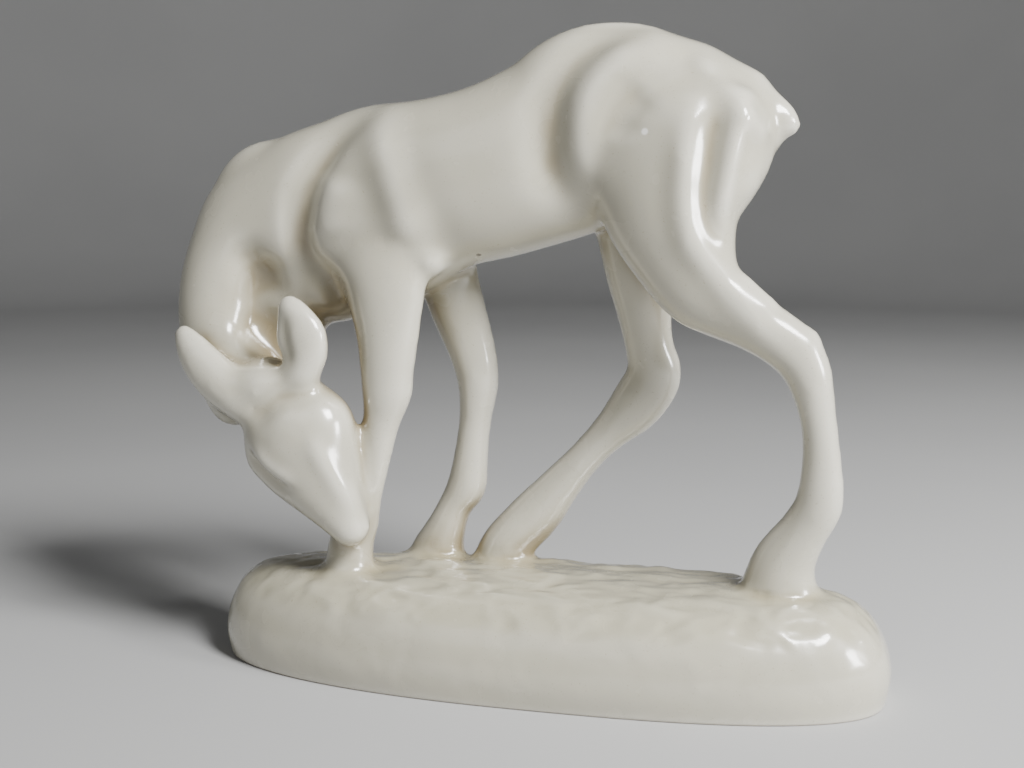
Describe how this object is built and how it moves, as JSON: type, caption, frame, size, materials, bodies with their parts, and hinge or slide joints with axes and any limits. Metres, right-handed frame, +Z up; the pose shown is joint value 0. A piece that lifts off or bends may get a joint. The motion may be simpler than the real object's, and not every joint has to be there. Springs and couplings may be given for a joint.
{
  "type": "deer figurine",
  "caption": "Glazed ceramic figurine of a slender grazing deer, its neck curled down and head turned aside, on a long rounded mound.",
  "frame": {"origin": "middle of the bounding box in plan, at the table the foot ring stands on", "axes": "+X along the mound towards the deer's rump, +Y across it away from the side the turned head faces, +Z up"},
  "size_m": [0.3193, 0.0987, 0.2799],
  "materials": {
    "cream_glaze": "glossy cream glaze over pale earthenware, pooling slightly darker in the creases"
  },
  "bodies": {
    "root": {"deer_figurine": "cream_glaze"}
  },
  "joints": []
}
